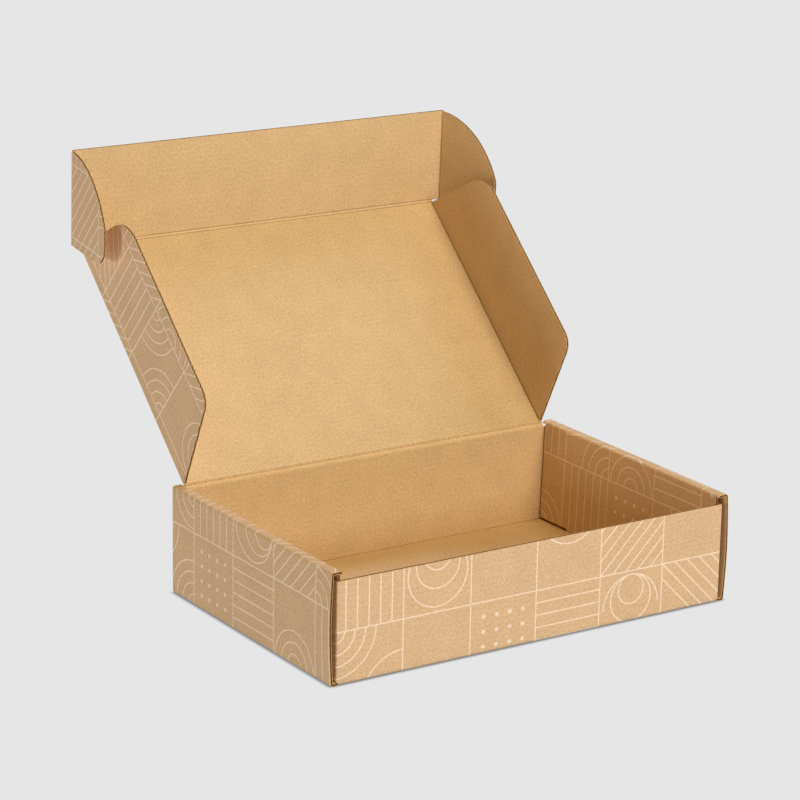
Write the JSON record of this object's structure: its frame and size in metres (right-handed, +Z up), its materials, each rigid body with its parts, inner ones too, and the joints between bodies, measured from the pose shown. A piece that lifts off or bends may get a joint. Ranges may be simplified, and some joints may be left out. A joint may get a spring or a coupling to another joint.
{
  "type": "corrugated mailer box",
  "caption": "Shallow roll-end mailer box folded from one sheet of corrugated board, with a hinged lid, side flaps, a front tuck flap and ears that lock into slots.",
  "frame": {"origin": "centre of the base's underside, where the box rests", "axes": "+X to the right along the lid's hinge, +Y to the back where the lid hangs, +Z up"},
  "size_m": [0.2892, 0.3127, 0.2479],
  "materials": {
    "board_tray": "matte uncoated kraft liner with pale printed lines outside",
    "board_lid_hinge_strip": "matte uncoated kraft liner with pale printed lines outside",
    "board_lid_panel": "matte uncoated kraft liner with pale printed lines outside",
    "board_tuck_flap": "matte uncoated kraft liner with pale printed lines outside",
    "board_lid_side_flap_left": "matte uncoated kraft liner with pale printed lines outside",
    "board_lid_side_flap_right": "matte uncoated kraft liner with pale printed lines outside",
    "board_tuck_ear_left": "matte uncoated kraft liner with pale printed lines outside",
    "board_tuck_ear_right": "matte uncoated kraft liner with pale printed lines outside"
  },
  "bodies": {
    "tray": {"tray": "board_tray"},
    "hinge_strip": {"lid_hinge_strip": "board_lid_hinge_strip"},
    "lid": {"lid_panel": "board_lid_panel"},
    "tuck": {"tuck_flap": "board_tuck_flap"},
    "side_flap_left": {"lid_side_flap_left": "board_lid_side_flap_left"},
    "side_flap_right": {"lid_side_flap_right": "board_lid_side_flap_right"},
    "ear_left": {"tuck_ear_left": "board_tuck_ear_left"},
    "ear_right": {"tuck_ear_right": "board_tuck_ear_right"}
  },
  "joints": [
    {"name": "lid_lower_score", "type": "hinge", "parent": "tray", "child": "hinge_strip", "pos_m": [0, 0.0892, 0.0636], "axis": [-1, 0, 0], "range_deg": [-67.5, 21.2]},
    {"name": "lid_upper_score", "type": "hinge", "parent": "hinge_strip", "child": "lid", "pos_m": [0, 0.09035, 0.06637], "axis": [-1, 0, 0], "range_deg": [-70.1, 21.2]},
    {"name": "tuck_fold", "type": "hinge", "parent": "lid", "child": "tuck", "pos_m": [0, 0.22193, 0.18652], "axis": [-1, 0, 0], "range_deg": [-40.1, 49.9]},
    {"name": "side_flap_left_fold", "type": "hinge", "parent": "lid", "child": "side_flap_left", "pos_m": [-0.1311, 0.09035, 0.06637], "axis": [0, -0.7385, -0.6743], "range_deg": [-3.2, 8]},
    {"name": "ear_left_fold", "type": "hinge", "parent": "tuck", "child": "ear_left", "pos_m": [-0.1373, 0.22193, 0.18652], "axis": [0, 0.0401, -0.9992], "range_deg": [-6.7, 83.3]},
    {"name": "side_flap_right_fold", "type": "hinge", "parent": "lid", "child": "side_flap_right", "pos_m": [0.1311, 0.09035, 0.06637], "axis": [0, 0.7385, 0.6743], "range_deg": [-3.2, 8]},
    {"name": "ear_right_fold", "type": "hinge", "parent": "tuck", "child": "ear_right", "pos_m": [0.1373, 0.22193, 0.18652], "axis": [0, -0.0401, 0.9992], "range_deg": [-6.7, 83.3]}
  ]
}
